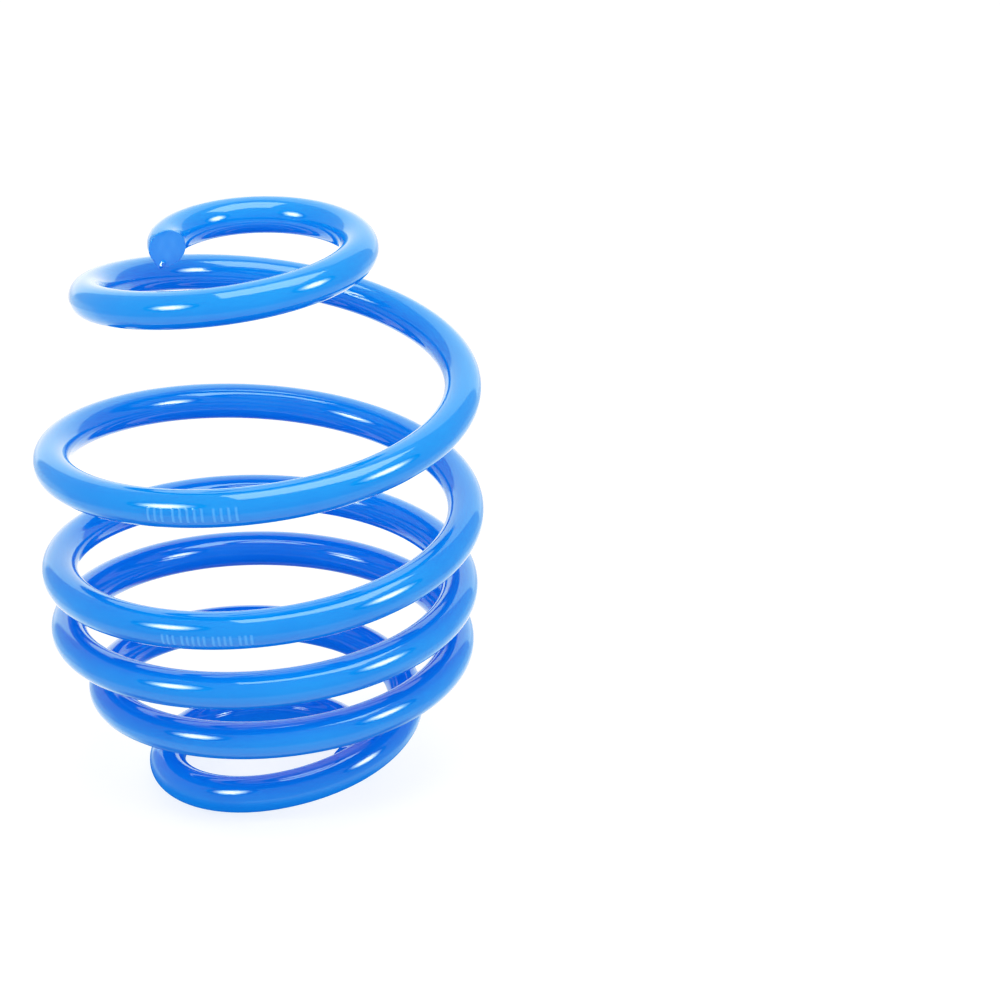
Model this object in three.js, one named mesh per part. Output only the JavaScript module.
// Coil spring of a car suspension: one round steel bar, wound right-handed into a barrel that
// narrows to a small flat coil at each end. The steel moves along its whole length, so the bar is
// divided into an upper end coil, quarter turns and a lower end coil, each of which turns a little
// about the bar against the next.
// Millimetres, +Z up. The origin is on the winding axis, in the plane that the lower coil rests on.
import * as THREE from "three";

// Driving dimensions. Turns are counted down the bar from its upper tip.
const BAR_DIAMETER = 12.5;
const BAR_TURNS = 6.58;
const TIP_AZIMUTH = Math.PI; // the upper tip is on the -X side
// The height of each end coil's centre line over the surface that the spring stands on.
const LOWER_COIL_HEIGHT = BAR_DIAMETER / 2;
const UPPER_COIL_HEIGHT = 194;

// The winding plan. The radius and the height of the centre line follow straight runs between
// these corners: [turn, value, how many turns before and after the corner are taken to round it].
const RADIUS_CORNERS = [
  [0, 27.5, 0],
  [0.35, 30, 0.19],
  [1.42, 70, 0.19],
  [3.05, 69.5, 0.19],
  [3.45, 67, 0.19],
  [4.4, 68, 0.19],
  [4.95, 56.5, 0.19],
  [5.5, 48, 0.19],
  [6.2, 31.5, 0.19],
  [BAR_TURNS, 30, 0],
];
const HEIGHT_CORNERS = [
  [0, UPPER_COIL_HEIGHT, 0],
  [0.76, UPPER_COIL_HEIGHT, 0.19],
  [1.55, 139.5, 0.19],
  [2.1, 116.5, 0.19],
  [2.75, 86, 0.19],
  [5.45, 26, 0.12],
  [5.87, LOWER_COIL_HEIGHT, 0.12],
  [BAR_TURNS, LOWER_COIL_HEIGHT, 0],
];

// Where the bar is divided, and how finely it is faceted.
const UPPER_COIL_END = 0.75;
const LOWER_COIL_START = 5.75;
const STRETCH_TURNS = 0.25;
const GAP = 0.3; // between the faces of neighbouring stretches
const SECTION_SIDES = 16;
const STEPS_PER_TURN = 40;

const PAINT = { color: 0x2f86ea, roughness: 0.16, metalness: 0 };

// A run that turns from 0 to slope 1 at x = 0, the corner rounded by a parabola over the given
// width to either side.
function roundedRun(x, width) {
  if (x <= -width) return 0;
  if (x >= width) return x;
  return (x + width) ** 2 / (4 * width);
}

// The value at a turn of the straight runs between the corners, added up from the first run and
// each change of slope.
function alongCorners(corners, turn) {
  const slopes = [];
  for (let i = 1; i < corners.length; i++) {
    const [fromTurn, fromValue] = corners[i - 1];
    const [toTurn, toValue] = corners[i];
    slopes.push((toValue - fromValue) / (toTurn - fromTurn));
  }
  let value = corners[0][1] + slopes[0] * turn;
  for (let i = 1; i < slopes.length; i++) {
    const [at, , width] = corners[i];
    value += (slopes[i] - slopes[i - 1]) * roundedRun(turn - at, width);
  }
  return value;
}

const radiusAt = (turn) => alongCorners(RADIUS_CORNERS, turn);
const heightAt = (turn) => alongCorners(HEIGHT_CORNERS, turn);
const azimuthAt = (turn) => TIP_AZIMUTH - 2 * Math.PI * turn;

function centreAt(turn) {
  const azimuth = azimuthAt(turn);
  const radius = radiusAt(turn);
  return new THREE.Vector3(radius * Math.cos(azimuth), radius * Math.sin(azimuth), heightAt(turn));
}

function tangentAt(turn) {
  const small = 1e-4;
  return centreAt(turn + small).sub(centreAt(turn - small)).normalize();
}

// A stretch of the bar's centre line. Its frames keep one side of the section facing straight up or
// down on the end coils, which gives them flat faces to sit on.
class BarPath extends THREE.Curve {
  constructor(from, to) {
    super();
    this.from = from;
    this.to = to;
  }

  turnAt(t) {
    return THREE.MathUtils.lerp(this.from, this.to, t);
  }

  getPoint(t, target = new THREE.Vector3()) {
    return target.copy(centreAt(this.turnAt(t)));
  }

  getSpacedPoints(steps) {
    return this.getPoints(steps);
  }

  computeFrenetFrames(steps) {
    const tangents = [];
    const normals = [];
    const binormals = [];
    for (let i = 0; i <= steps; i++) {
      const turn = this.turnAt(i / steps);
      const azimuth = azimuthAt(turn);
      const tangent = tangentAt(turn);
      const outward = new THREE.Vector3(Math.cos(azimuth), Math.sin(azimuth), 0);
      const normal = outward.addScaledVector(tangent, -outward.dot(tangent)).normalize();
      tangents.push(tangent);
      normals.push(normal);
      binormals.push(tangent.clone().cross(normal));
    }
    return { tangents, normals, binormals };
  }
}

// The bar's round section as a polygon whose flats touch the true circle, with a flat at top and bottom.
function barSection() {
  const halfSide = Math.PI / SECTION_SIDES;
  const cornerRadius = BAR_DIAMETER / 2 / Math.cos(halfSide);
  const points = [];
  for (let i = 0; i < SECTION_SIDES; i++) {
    const angle = (2 * i + 1) * halfSide;
    points.push(new THREE.Vector2(cornerRadius * Math.cos(angle), cornerRadius * Math.sin(angle)));
  }
  return new THREE.Shape(points);
}

const halfGapTurns = (turn) => GAP / 2 / (2 * Math.PI * radiusAt(turn));

// The stretch between two turns. Half a gap is left at each end that meets a neighbour.
function barStretch(name, from, to) {
  const start = from === 0 ? 0 : from + halfGapTurns(from);
  const end = to === BAR_TURNS ? BAR_TURNS : to - halfGapTurns(to);
  const steps = Math.round((to - from) * STEPS_PER_TURN);
  const extrudePath = new BarPath(start, end);
  const geometry = new THREE.ExtrudeGeometry(barSection(), { steps, extrudePath });
  const mesh = new THREE.Mesh(geometry, new THREE.MeshStandardMaterial(PAINT));
  mesh.name = name;
  return mesh;
}

// A quarter turn's name: its coil's number, counted from the top, and the side that it lies on.
const QUARTERS = ["back_left", "back_right", "front_right", "front_left"];

function quarterName(from) {
  const middle = from + STRETCH_TURNS / 2;
  const coil = Math.floor(middle) + 1;
  const quarter = QUARTERS[Math.floor((middle % 1) / STRETCH_TURNS)];
  return `coil_${coil}_${quarter}`;
}

const spring = new THREE.Group();
spring.add(barStretch("upper_end_coil", 0, UPPER_COIL_END));
for (let from = UPPER_COIL_END; from < LOWER_COIL_START; from += STRETCH_TURNS) {
  spring.add(barStretch(quarterName(from), from, from + STRETCH_TURNS));
}
spring.add(barStretch("lower_end_coil", LOWER_COIL_START, BAR_TURNS));

export default spring;
